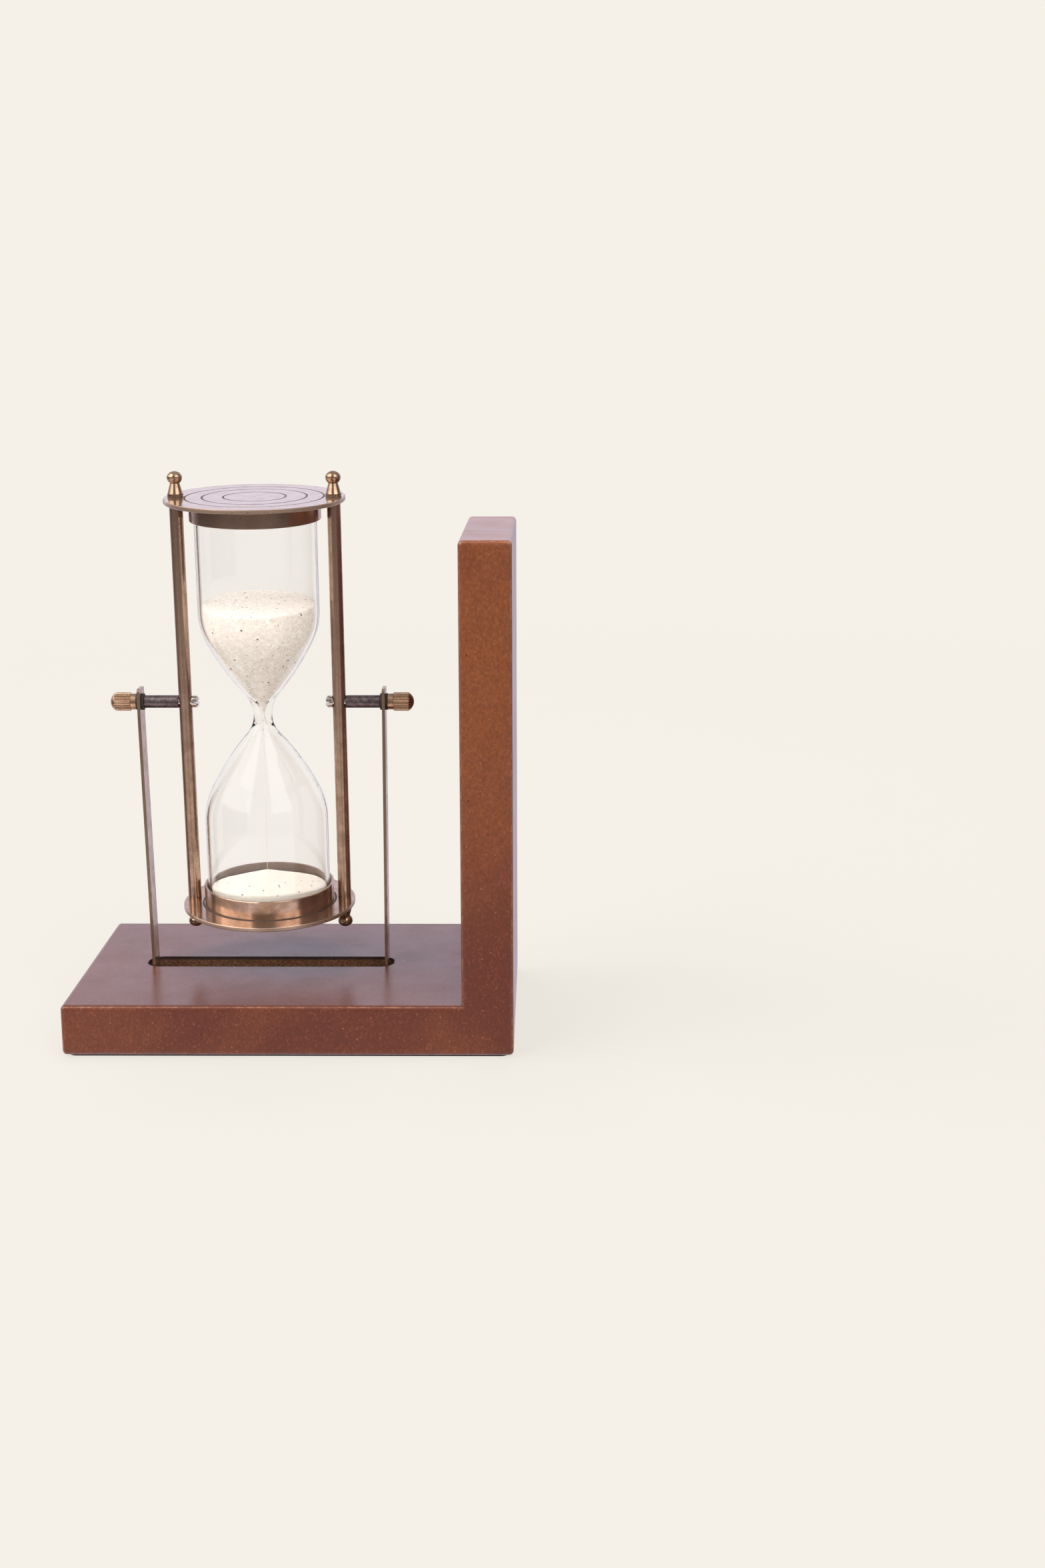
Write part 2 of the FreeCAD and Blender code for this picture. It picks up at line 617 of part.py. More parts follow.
def all_parts():
    parts = {
        "base_board": base_board(),
        "upright_board": upright_board(),
        "mitre_dowels": mitre_dowels(),
        "felt_pad": felt_pad(),
        "yoke": yoke(),
        "yoke_screws": yoke_screws(),
        "top_plate": plate(TOP_PLATE_R, TOP_PLATE_W, 1),
        "bottom_plate": plate(BOTTOM_PLATE_R, BOTTOM_PLATE_W, -1),
        "top_collar": collar(TOP_COLLAR_R, TOP_INNER_W, 1, TOP_COLLAR_H),
        "bottom_collar": collar(BOTTOM_COLLAR_R, BOTTOM_INNER_W, -1, BOTTOM_COLLAR_H),
        "top_cushion": cushion(UPPER_GLASS_R, TOP_INNER_W, 1),
        "bottom_cushion": cushion(LOWER_GLASS_R, BOTTOM_INNER_W, -1),
        "glass": glass(),
        "sand_upper": sand_upper(),
        "sand_lower": sand_lower(),
        "sand_stream": sand_stream(),
    }
    for name, side in (("left", -1), ("right", 1)):
        parts[name + "_rod"] = frame_rod(side)
        parts[name + "_pivot_screw"] = pivot_screw(side)
        parts[name + "_spacer"] = spacer(side)
        parts[name + "_inner_washer"] = inner_washer(side)
        parts[name + "_outer_washer"] = outer_washer(side)
        parts[name + "_thumb_nut"] = thumb_nut(side)
        parts["top_" + name + "_finial"] = finial(side, TOP_PLATE_W, 1)
        parts["bottom_" + name + "_finial"] = finial(side, BOTTOM_PLATE_W, -1)
    return parts


os.makedirs("parts", exist_ok=True)
for node, shape in all_parts().items():
    shape.exportStep("parts/" + node + ".step")
    box = shape.BoundBox
    print(node, "solids", len(shape.Solids), "valid", shape.isValid(), "volume", round(shape.Volume, 1),
          "z", round(box.ZMin, 2), round(box.ZMax, 2))
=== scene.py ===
import bmesh
import bpy
import json
import math
import random
from mathutils import Matrix, Vector, noise


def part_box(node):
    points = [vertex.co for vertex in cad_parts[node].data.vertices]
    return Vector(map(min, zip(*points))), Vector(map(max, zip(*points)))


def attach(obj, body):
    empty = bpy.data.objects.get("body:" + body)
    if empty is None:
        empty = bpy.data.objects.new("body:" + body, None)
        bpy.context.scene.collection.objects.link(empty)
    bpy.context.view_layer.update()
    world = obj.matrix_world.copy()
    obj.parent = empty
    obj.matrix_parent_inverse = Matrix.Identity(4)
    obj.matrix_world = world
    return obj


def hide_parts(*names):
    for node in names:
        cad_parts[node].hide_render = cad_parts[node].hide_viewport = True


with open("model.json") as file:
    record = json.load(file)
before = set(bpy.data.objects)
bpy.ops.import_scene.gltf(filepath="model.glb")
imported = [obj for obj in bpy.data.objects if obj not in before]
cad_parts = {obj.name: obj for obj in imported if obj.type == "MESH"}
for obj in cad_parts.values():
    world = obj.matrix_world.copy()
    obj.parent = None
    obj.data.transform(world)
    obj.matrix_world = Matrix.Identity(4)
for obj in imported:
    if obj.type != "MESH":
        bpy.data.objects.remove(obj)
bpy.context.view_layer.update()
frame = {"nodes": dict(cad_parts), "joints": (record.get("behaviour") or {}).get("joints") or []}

# Hourglass bookend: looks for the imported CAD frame. Metres, in the CAD's own frame.

MM = 0.001
BACKGROUND = (0.913, 0.879, 0.807, 1.0)

# The slot in the base board, as the CAD has it
SLOT_MIDDLE_X = -11.7 * MM
SLOT_HALF_L = 45.4 * MM
SLOT_MIDDLE_Y = 0.5 * MM
SLOT_HALF_W = 6.0 * MM
SLOT_CORNER_R = 5.0 * MM

# Places on the hourglass, as the CAD has them: W is along the glass from the pivot, up from it,
# and R is out from the glass's axis. The bottom plate's outer face is this deep below the pivot.
TOP_PLATE_W = 73.8 * MM
BOTTOM_PLATE_DEPTH = 76.7 * MM
COLLAR_FOOT_W = -75.2 * MM
TOP_COLLAR_R = 23.1 * MM
BOTTOM_COLLAR_R = 23.7 * MM
RING_RADII = (24.3 * MM, 18.3 * MM, 10.95 * MM)

# Where a change of looks starts and where it is full: the dark rim of the plates, the rubbed
# ridges of the knurls (out from the pivot axis), and the painted shade that greys the sand of the
# lower bulb
DARK_RIM_R = (31.1 * MM, 31.3 * MM)
RUBBED_RIDGE_R = (3.1 * MM, 3.3 * MM)
LOWER_SAND_SHADE_W = (-30 * MM, -50 * MM)

# Colours of the boards: light and dark patches low down, darkened there as painted shade, the same
# higher up, and the broad faces, a deeper plum that is partly painted shade
BOARD_LOW_SHADED = ((0.152, 0.0395, 0.0185, 1), (0.108, 0.0255, 0.0155, 1))
BOARD_HIGH_LIT = ((0.216, 0.0655, 0.024, 1), (0.177, 0.05, 0.0195, 1))
BOARD_PLUM_SHADE = (0.1, 0.03, 0.018, 1)

BRASS_LIGHT = (0.54, 0.38, 0.285, 1)
BRASS_DARK = (0.38, 0.25, 0.18, 1)
BRASS_METALLIC = 0.9
CREASE_HALF_W = 0.38 * MM


def middle(node):
    """The middle of a node's box."""
    low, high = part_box(node)
    return (Vector(low) + Vector(high)) / 2


# The hourglass's own frame: origin at the pivot, w along the glass, u along X
PIVOT = Vector(next(j for j in frame["joints"] if j["name"] == "hourglass_swing")["pos_m"])
GLASS_AXIS = (middle("top_plate") - middle("bottom_plate")).normalized()
LEAN = math.atan2(-GLASS_AXIS.y, GLASS_AXIS.z)
BASE_TOP_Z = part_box("base_board")[1][2]
INNER_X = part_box("upright_board")[0][0]


# Node helpers

def put(tree, kind, inputs=None, **settings):
    """Add a node, set its properties, and set or link its inputs."""
    node = tree.nodes.new(kind)
    for name, value in settings.items():
        setattr(node, name, value)
    for key, value in (inputs or {}).items():
        if isinstance(value, bpy.types.NodeSocket):
            tree.links.new(value, node.inputs[key])
        else:
            node.inputs[key].default_value = value
    return node


def calc(tree, operation, *values):
    return put(tree, "ShaderNodeMath", dict(enumerate(values)), operation=operation).outputs[0]


def remap(tree, value, low, high, to_low=0.0, to_high=1.0, smooth=True):
    """Carry low..high to to_low..to_high, clamped; low may be the larger one."""
    flip = low > high
    node = put(tree, "ShaderNodeMapRange", {
        "Value": value, "From Min": min(low, high), "From Max": max(low, high),
        "To Min": to_high if flip else to_low, "To Max": to_low if flip else to_high})
    node.interpolation_type = "SMOOTHSTEP" if smooth else "LINEAR"
    return node.outputs[0]


def blend(tree, factor, first, second):
    """Mix two colours."""
    node = put(tree, "ShaderNodeMix", {0: factor, 6: first, 7: second}, data_type="RGBA")
    return node.outputs[2]


def product(tree, *values):
    result = values[0]
    for value in values[1:]:
        result = calc(tree, "MULTIPLY", result, value)
    return result


def apart(tree, first, second):
    """How far apart two values are."""
    return calc(tree, "ABSOLUTE", calc(tree, "SUBTRACT", first, second))


def inverse(tree, mask):
    """1 where the mask is 0, and 0 where it is 1."""
    return calc(tree, "SUBTRACT", 1.0, mask)


def span(tree, first, second):
    """The length of a vector that has these two parts."""
    squares = calc(tree, "ADD", product(tree, first, first), product(tree, second, second))
    return calc(tree, "SQRT", squares)


def split(tree, vector):
    return put(tree, "ShaderNodeSeparateXYZ", {0: vector}).outputs[:]


def join(tree, x, y, z):
    return put(tree, "ShaderNodeCombineXYZ", {0: x, 1: y, 2: z}).outputs[0]


def scaled(tree, vector, factors):
    return put(tree, "ShaderNodeVectorMath", {0: vector, 1: factors}, operation="MULTIPLY").outputs[0]


def grain(tree, vector, scale, detail=3.0, roughness=0.55, distortion=0.0):
    """Noise from 0 to 1."""
    return put(tree, "ShaderNodeTexNoise", {
        "Vector": vector, "Scale": scale, "Detail": detail, "Roughness": roughness,
        "Distortion": distortion}).outputs["Fac"]


def flecks(tree, vector, scale, size, share):
    """Sparse round dots: size is the radius in cells, share the part of the cells that has one."""
    cells = put(tree, "ShaderNodeTexVoronoi", {"Vector": vector, "Scale": scale})
    dot = remap(tree, cells.outputs["Distance"], size, size * 0.6)
    chosen = calc(tree, "LESS_THAN", split(tree, cells.outputs["Color"])[0], share)
    return calc(tree, "MULTIPLY", dot, chosen)


def bump(tree, height, depth, strength=1.0, below=None):
    inputs = {"Height": height, "Distance": depth, "Strength": strength}
    if below is not None:
        inputs["Normal"] = below
    return put(tree, "ShaderNodeBump", inputs).outputs[0]


def new_material(name):
    material = bpy.data.materials.new(name)
    material.use_nodes = True
    material.node_tree.nodes.clear()
    return material, material.node_tree


def finish_material(tree, inputs):
    """A Principled shader with these inputs, joined to the output."""
    shader = put(tree, "ShaderNodeBsdfPrincipled", inputs)
    put(tree, "ShaderNodeOutputMaterial", {0: shader.outputs[0]})


def object_coords(tree):
    return put(tree, "ShaderNodeTexCoord").outputs["Object"]


def hourglass_coords(tree):
    """Object coordinates turned into the hourglass's own frame."""
    back = Matrix.Rotation(-LEAN, 3, "X")
    shift = -(back @ PIVOT)
    return put(tree, "ShaderNodeMapping", {
        "Vector": object_coords(tree), "Location": shift, "Rotation": (-LEAN, 0, 0)}).outputs[0]


# Materials

def slot_distance(tree, x, y):
    """How far a point is outside the slot's outline, a rounded rectangle; negative inside it."""
    beyond_x = calc(tree, "MAXIMUM", calc(
        tree, "SUBTRACT", apart(tree, x, SLOT_MIDDLE_X), SLOT_HALF_L - SLOT_CORNER_R), 0.0)
    beyond_y = calc(tree, "MAXIMUM", calc(
        tree, "SUBTRACT", apart(tree, y, SLOT_MIDDLE_Y), SLOT_HALF_W - SLOT_CORNER_R), 0.0)
    return calc(tree, "SUBTRACT", span(tree, beyond_x, beyond_y), SLOT_CORNER_R)


def board_material():
    """Satin brown paint over fibreboard: speckled, worn along the edges, raw in the slot."""
    # Allowances that tell the slot's walls and the boards' broad faces from what is next to them
    wall_gap = 0.05 * MM
    face_gap = 1 * MM
    material, tree = new_material("painted_board")
    place = object_coords(tree)
    x, y, z = split(tree, place)

    # Broad tone: orange brown high on the upright, redder and deeper towards the base, where the
    # darkening is painted shade
    clouds = grain(tree, place, 20, 3, 0.6, 0.6)
    high = remap(tree, calc(tree, "ADD", z, calc(tree, "MULTIPLY", clouds, 0.03)), 0.045, 0.13)
    patches = remap(tree, clouds, 0.36, 0.62)
    colour = blend(tree, high, blend(tree, patches, *BOARD_LOW_SHADED), blend(tree, patches, *BOARD_HIGH_LIT))

    # The boards' broad faces are a deeper plum than their cut edges, partly tone and partly painted
    # shade
    facing = put(tree, "ShaderNodeTexCoord").outputs["Normal"]
    normal = put(tree, "ShaderNodeVectorMath", {0: facing}, operation="ABSOLUTE").outputs[0]
    nx, ny, nz = split(tree, normal)
    base_face = product(tree, remap(tree, nz, 0.6, 0.9),
                        calc(tree, "LESS_THAN", z, BASE_TOP_Z + face_gap))
    upright_face = product(tree, remap(tree, nx, 0.6, 0.9),
                           calc(tree, "GREATER_THAN", x, INNER_X - face_gap))
    broad = calc(tree, "MAXIMUM", base_face, upright_face)
    colour = blend(tree, product(tree, broad, 0.9), colour, BOARD_PLUM_SHADE)

    # Fine fibres, bright specks and pits
    fibre = grain(tree, scaled(tree, place, (1, 1, 0.7)), 1500, 4, 0.7)
    colour = blend(tree, remap(tree, fibre, 0.6, 0.36, 0, 0.42), colour, (0.07, 0.02, 0.012, 1))
    colour = blend(tree, remap(tree, fibre, 0.54, 0.74, 0, 0.4), colour, (0.36, 0.125, 0.045, 1))
    bright = flecks(tree, place, 620, 0.2, 0.12)
    colour = blend(tree, calc(tree, "MULTIPLY", bright, 0.4), colour, (0.45, 0.2, 0.09, 1))
    pits = product(tree, flecks(tree, scaled(tree, place, (1, 1, 0.6)), 300, 0.11, 0.14),
                   inverse(tree, product(tree, broad, 0.9)))
    colour = blend(tree, calc(tree, "MULTIPLY", pits, 0.75), colour, (0.02, 0.009, 0.007, 1))

    # Wear where the eased edges turn
    flatness = calc(tree, "MAXIMUM", nx, calc(tree, "MAXIMUM", ny, nz))
    edge = remap(tree, flatness, 0.88, 0.74)
    rubbed = remap(tree, grain(tree, place, 260, 4, 0.65), 0.45, 0.62)
    wear = product(tree, edge, calc(tree, "ADD", 0.2, product(tree, rubbed, 0.5)))
    colour = blend(tree, wear, colour, (0.33, 0.15, 0.09, 1))

    # The mitre shows as a faint line
    from_mitre = apart(tree, calc(tree, "ADD", x, z), INNER_X + BASE_TOP_Z)
    broken = remap(tree, grain(tree, place, 120, 3, 0.6), 0.35, 0.6, 0.2, 1.0)
    mitre = product(tree, remap(tree, from_mitre, 0.3 * MM, 0.1 * MM), broken)
    colour = blend(tree, product(tree, mitre, 0.3), colour, (0.05, 0.02, 0.016, 1))

    # Raw fibreboard inside the slot, with a dark ragged rim
    from_slot = slot_distance(tree, x, y)
    inside = product(tree, calc(tree, "LESS_THAN", from_slot, wall_gap),
                     calc(tree, "LESS_THAN", z, BASE_TOP_Z - wall_gap))
    fuzz = grain(tree, scaled(tree, place, (1, 1, 2.5)), 900, 5, 0.75)
    raw = blend(tree, remap(tree, fuzz, 0.35, 0.65), (0.075, 0.033, 0.02, 1), (0.34, 0.16, 0.08, 1))
    sooty = remap(tree, calc(tree, "ADD", z, calc(tree, "MULTIPLY", fuzz, 1.4 * MM)),
                  BASE_TOP_Z - 0.9 * MM, BASE_TOP_Z + 0.1 * MM)
    raw = blend(tree, product(tree, sooty, 0.85), raw, (0.014, 0.01, 0.012, 1))
    colour = blend(tree, inside, colour, raw)
    ragged = calc(tree, "SUBTRACT", from_slot, calc(tree, "MULTIPLY", fuzz, 0.7 * MM))
    rim = product(tree, remap(tree, ragged, 0.1 * MM, -0.2 * MM),
                  calc(tree, "GREATER_THAN", z, BASE_TOP_Z - 2 * wall_gap))
    colour = blend(tree, product(tree, rim, 0.85), colour, (0.03, 0.015, 0.012, 1))

    # Roughness and relief
    sheen = remap(tree, grain(tree, place, 55, 4, 0.6), 0.3, 0.7, 0.28, 0.36)
    sheen = calc(tree, "ADD", sheen, product(tree, calc(tree, "MAXIMUM", inside, rim), 0.45))
    calmed = product(tree, fibre, inverse(tree, product(tree, broad, 0.8)))
    relief = bump(tree, calmed, 0.05 * MM, 0.3)
    relief = bump(tree, inverse(tree, pits), 0.03 * MM, 0.4, relief)
    relief = bump(tree, product(tree, inside, fuzz), 0.8 * MM, 1.0, relief)
    relief = bump(tree, inverse(tree, mitre), 0.05 * MM, 0.5, relief)
    finish_material(tree, {"Base Color": colour, "Roughness": sheen, "Normal": relief, "IOR": 1.4,
                           "Coat Weight": 0.4, "Coat Roughness": 0.22, "Coat IOR": 1.35})
    return material


def ring_coords(tree, radius, w, angle, fine, turns):
    """Coordinates for noise that runs in rings: quick across them and slow along them."""
    return join(tree, product(tree, radius, fine), product(tree, w, fine),
                product(tree, angle, turns))


def brass_material(name, light, dark, lay, roughness, depth=1.0, crease=None):
    """Antique brass with a brown patina.

    lay is how its fine grain runs: "turned" round the glass's axis, "drawn" along it, or "strip",
    up the stand. depth scales the relief. crease(tree, radius, w) is a mask of old polish in the
    rings and of painted shade at joints and in hollows, with darker plate rims.
    """
    material, tree = new_material(name)
    place = object_coords(tree) if lay == "strip" else hourglass_coords(tree)
    u, v, w = split(tree, place)
    radius = span(tree, u, v)
    if lay == "turned":
        angle = calc(tree, "ARCTAN2", v, u)
        lines = ring_coords(tree, radius, w, angle, 5200.0, 2.5)
        strokes = ring_coords(tree, radius, w, angle, 3800.0, 11.0)
    else:
        lines = scaled(tree, place, (4200, 4200, 60))
        strokes = scaled(tree, place, (2600, 2600, 230))
    brushed = grain(tree, lines, 1.0, 3, 0.6)
    scratch = remap(tree, grain(tree, strokes, 1.0, 2, 0.5), 0.66, 0.74)

    patina = grain(tree, place, 190, 6, 0.62, 0.4)
    colour = blend(tree, remap(tree, patina, 0.36, 0.66), light, dark)
    fine = grain(tree, place, 1700, 3, 0.7)
    colour = blend(tree, remap(tree, fine, 0.6, 0.72, 0, 0.45), colour, (0.1, 0.055, 0.038, 1))
    colour = blend(tree, remap(tree, brushed, 0.66, 0.4, 0, 0.3), colour, dark)
    colour = blend(tree, product(tree, scratch, 0.35), colour, (0.62, 0.45, 0.34, 1))
    spots = flecks(tree, place, 520, 0.2, 0.1)
    colour = blend(tree, product(tree, spots, 0.5), colour, (0.055, 0.03, 0.022, 1))
    relief = bump(tree, brushed, 0.008 * MM * depth, 0.4)
    relief = bump(tree, patina, 0.04 * MM * depth, 0.2, relief)
    rough = remap(tree, patina, 0.3, 0.7, roughness - 0.05, roughness + 0.07)
    rough = calc(tree, "ADD", rough, product(tree, remap(tree, fine, 0.58, 0.72), 0.1))
    metallic = BRASS_METALLIC
    if crease is not None:
        # Old polish in the rings, painted shade at joints and in hollows, and darker plate rims: darker,
        # rougher, less metallic
        polish_and_shade_mask = calc(tree, "MINIMUM", crease(tree, radius, w), 1.0)
        colour = blend(tree, product(tree, polish_and_shade_mask, 0.92), colour, (0.035, 0.02, 0.015, 1))
        rough = calc(tree, "ADD", rough, product(tree, polish_and_shade_mask, 0.4))
        metallic = product(tree, inverse(tree, polish_and_shade_mask), BRASS_METALLIC)
    finish_material(tree, {"Base Color": colour, "Metallic": metallic, "Roughness": rough,
                           "Normal": relief})
    return material


def near(tree, value, places, width):
    """1 where value is within width of one of the places, soft at the sides."""
    masks = [remap(tree, apart(tree, value, place), width * 1.15, width * 0.7) for place in places]
    result = masks[0]
    for mask in masks[1:]:
        result = calc(tree, "MAXIMUM", result, mask)
    return result


def plate_polish_and_shade(tree, radius, w):
    """Old polish in the turned rings, painted shade round the foot of the top collar, and a darker tone
    along the rims.

    far is the top plate's outer face and all of the bottom plate, which lies further out. So the
    bottom plate has the rings on both faces, and its largest ring shows round the bottom collar.
    """
    far = calc(tree, "GREATER_THAN", calc(tree, "ABSOLUTE", w), TOP_PLATE_W - 0.4 * MM)
    rings = product(tree, near(tree, radius, RING_RADII, CREASE_HALF_W), far)
    # Painted shade round the foot of the top collar, where it meets the plate
    foot = product(tree, near(tree, radius, (TOP_COLLAR_R, BOTTOM_COLLAR_R), CREASE_HALF_W),
                   inverse(tree, far))
    rim = product(tree, remap(tree, radius, *DARK_RIM_R), 0.4)
    return calc(tree, "ADD", calc(tree, "ADD", rings, foot), rim)


def collar_shade(tree, radius, w):
    """Painted shade round the foot of the bottom collar, where it meets the plate, and in the dark
    hollows inside both collars.
    """
    foot = remap(tree, w, COLLAR_FOOT_W + 0.3 * MM, COLLAR_FOOT_W + 0.14 * MM)
    hollow = remap(tree, radius, TOP_COLLAR_R - 0.1 * MM, TOP_COLLAR_R - 0.3 * MM)
    return calc(tree, "ADD", foot, product(tree, hollow, 0.6))


def finial_shade(tree, radius, w):
    """Painted shade: dark lines under the foot, where it meets the plate, and in the reveal above it,
    measured from either plate.
    """
    # TOP_PLATE_W above the pivot, BOTTOM_PLATE_DEPTH below it
    mean = (TOP_PLATE_W + BOTTOM_PLATE_DEPTH) / 2
    half_difference = (TOP_PLATE_W - BOTTOM_PLATE_DEPTH) / 2
    by_side = calc(tree, "MULTIPLY", calc(tree, "SIGN", w), half_difference)
    plate = calc(tree, "ADD", mean, by_side)
    above = calc(tree, "SUBTRACT", calc(tree, "ABSOLUTE", w), plate)
    under_foot = remap(tree, above, 0.3 * MM, 0.12 * MM)
    return calc(tree, "ADD", under_foot, near(tree, above, (1.0 * MM,), 0.13 * MM))


def knurled_material():
    """Antique brass, brighter where fingers rub the ridges."""
    material, tree = new_material("knurled_brass")
    place = hourglass_coords(tree)
    _, v, w = split(tree, place)
    ridge = remap(tree, span(tree, v, w), *RUBBED_RIDGE_R)
    patina = grain(tree, place, 420, 5, 0.65)
    colour = blend(tree, remap(tree, patina, 0.35, 0.65), (0.58, 0.39, 0.25, 1), (0.38, 0.235, 0.15, 1))
    colour = blend(tree, product(tree, ridge, 0.45), colour, (0.66, 0.47, 0.31, 1))
    fine = grain(tree, place, 3200, 3, 0.7)
    colour = blend(tree, remap(tree, fine, 0.56, 0.7, 0, 0.6), colour, (0.09, 0.05, 0.03, 1))
    rough = remap(tree, patina, 0.3, 0.7, 0.24, 0.38)
    relief = bump(tree, fine, 0.04 * MM, 0.5)
    finish_material(tree, {"Base Color": colour, "Metallic": 1.0, "Roughness": rough, "Normal": relief})
    return material


def small_metal(name, light, dark, low_rough, high_rough, turns):
    """Turned hardware on the pivot axis: fine rings round X."""
    material, tree = new_material(name)
    place = hourglass_coords(tree)
    u, v, w = split(tree, place)
    rings = grain(tree, join(tree, product(tree, u, turns), product(tree, v, 300.0),
                             product(tree, w, 300.0)), 1.0, 3, 0.6)
    cloud = grain(tree, place, 700, 4, 0.6)
    colour = blend(tree, remap(tree, cloud, 0.35, 0.65), light, dark)
    colour = blend(tree, remap(tree, rings, 0.6, 0.4, 0, 0.35), colour, dark)
    rough = remap(tree, rings, 0.3, 0.7, low_rough, high_rough)
    relief = bump(tree, rings, 0.015 * MM, 0.6)
    finish_material(tree, {"Base Color": colour, "Metallic": 1.0, "Roughness": rough, "Normal": relief})
    return material


def fibre_material():
    material, tree = new_material("black_fibre")
    place = object_coords(tree)
    weave = grain(tree, place, 2600, 4, 0.7)
    colour = blend(tree, weave, (0.012, 0.01, 0.01, 1), (0.06, 0.048, 0.042, 1))
    rough = remap(tree, weave, 0.3, 0.7, 0.55, 0.8)
    finish_material(tree, {"Base Color": colour, "Roughness": rough,
                           "Normal": bump(tree, weave, 0.05 * MM, 0.6)})
    return material


def felt_material():
    material, tree = new_material("felt")
    place = object_coords(tree)
    hairs = grain(tree, scaled(tree, place, (1, 1, 2)), 1400, 6, 0.8, 1.5)
    tufts = grain(tree, place, 240, 4, 0.7)
    colour = blend(tree, remap(tree, hairs, 0.35, 0.7), (0.006, 0.006, 0.008, 1), (0.05, 0.046, 0.05, 1))
    colour = blend(tree, remap(tree, tufts, 0.4, 0.7, 0, 0.4), colour, (0.03, 0.026, 0.03, 1))
    relief = bump(tree, hairs, 0.3 * MM, 0.8)
    finish_material(tree, {"Base Color": colour, "Roughness": remap(tree, tufts, 0.3, 0.7, 0.88, 1.0),
                           "Normal": relief, "Sheen Weight": 0.25, "Sheen Roughness": 0.5})
    return material


def cork_material():
    material, tree = new_material("cork")
    place = object_coords(tree)
    cells = put(tree, "ShaderNodeTexVoronoi", {"Vector": place, "Scale": 900.0})
    shade = split(tree, cells.outputs["Color"])[0]
    cloud = grain(tree, place, 1600, 4, 0.7)
    colour = blend(tree, shade, (0.3, 0.19, 0.11, 1), (0.56, 0.41, 0.28, 1))
    colour = blend(tree, remap(tree, cloud, 0.55, 0.7, 0, 0.8), colour, (0.1, 0.055, 0.03, 1))
    relief = bump(tree, cloud, 0.2 * MM, 0.6)
    finish_material(tree, {"Base Color": colour, "Normal": relief,
                           "Roughness": remap(tree, cloud, 0.3, 0.7, 0.75, 0.95)})
    return material


def beech_material():
    material, tree = new_material("beech")
    place = object_coords(tree)
    pores = grain(tree, scaled(tree, place, (700, 3000, 700)), 1.0, 4, 0.6)
    rings = grain(tree, scaled(tree, place, (300, 900, 300)), 1.0, 2, 0.5, 1.0)
    colour = blend(tree, rings, (0.62, 0.43, 0.25, 1), (0.47, 0.3, 0.16, 1))
    colour = blend(tree, remap(tree, pores, 0.58, 0.7), colour, (0.25, 0.13, 0.06, 1))
    finish_material(tree, {"Base Color": colour, "Normal": bump(tree, pores, 0.1 * MM, 0.4),
                           "Roughness": remap(tree, pores, 0.3, 0.7, 0.5, 0.7)})
    return material


def glass_material():
    """Blown clear glass, very slightly uneven. Lamps shine through it without caustics."""
    material, tree = new_material("glass")
    place = hourglass_coords(tree)
    sway = grain(tree, scaled(tree, place, (1, 1, 0.5)), 42, 2, 0.4)
    ripple = grain(tree, scaled(tree, place, (1, 1, 0.25)), 240, 2, 0.5)
    relief = bump(tree, sway, 0.5 * MM, 0.25)
    relief = bump(tree, ripple, 0.02 * MM, 0.2, relief)
    tint = blend(tree, sway, (0.985, 0.983, 0.995, 1), (0.998, 0.996, 1.0, 1))
    clear = put(tree, "ShaderNodeBsdfPrincipled", {
        "Base Color": tint, "Roughness": 0.0, "IOR": 1.36, "Transmission Weight": 1.0, "Normal": relief})
    open_way = put(tree, "ShaderNodeBsdfTransparent", {"Color": (0.99, 0.99, 0.985, 1)})
    path = put(tree, "ShaderNodeLightPath")
    lamp = calc(tree, "MAXIMUM", path.outputs["Is Shadow Ray"], path.outputs["Is Diffuse Ray"])
    both = put(tree, "ShaderNodeMixShader", {0: lamp, 1: clear.outputs[0], 2: open_way.outputs[0]})
    put(tree, "ShaderNodeOutputMaterial", {0: both.outputs[0]})
    return material


def sand_material():
    """Fine cream sand with sparse dark and rusty grains, and painted shade that makes it greyer in the
    lower bulb.
    """
    material, tree = new_material("sand")
    place = hourglass_coords(tree)
    cells = put(tree, "ShaderNodeTexVoronoi", {"Vector": place, "Scale": 1500.0})
    each = split(tree, cells.outputs["Color"])
    colour = blend(tree, each[0], (0.99, 0.96, 0.9, 1), (0.8, 0.745, 0.675, 1))
    clump = grain(tree, place, 900, 2, 0.7)
    colour = blend(tree, remap(tree, clump, 0.5, 0.68, 0, 0.45), colour, (0.76, 0.67, 0.59, 1))
    drift = grain(tree, place, 70, 3, 0.6)
    colour = blend(tree, remap(tree, drift, 0.4, 0.65, 0, 0.35), colour, (0.9, 0.81, 0.75, 1))
    rusty = flecks(tree, place, 800, 0.38, 0.1)
    colour = blend(tree, product(tree, rusty, 0.42), colour, (0.5, 0.34, 0.24, 1))
    # Painted shade: the sand turns greyer going down into the lower bulb
    lower_bulb_shade = remap(tree, split(tree, place)[2], *LOWER_SAND_SHADE_W)
    colour = blend(tree, product(tree, lower_bulb_shade, 0.7), colour, (0.68, 0.64, 0.56, 1))
    dark = flecks(tree, place, 560, 0.26, 0.14)
    colour = blend(tree, product(tree, dark, 0.85), colour, (0.07, 0.05, 0.045, 1))
    relief = bump(tree, cells.outputs["Distance"], 0.12 * MM, 0.5)
    finish_material(tree, {"Base Color": colour, "Normal": relief, "Diffuse Roughness": 0.6,
                           "Roughness": remap(tree, each[1], 0.0, 1.0, 0.75, 0.95), "IOR": 1.3})
    return material


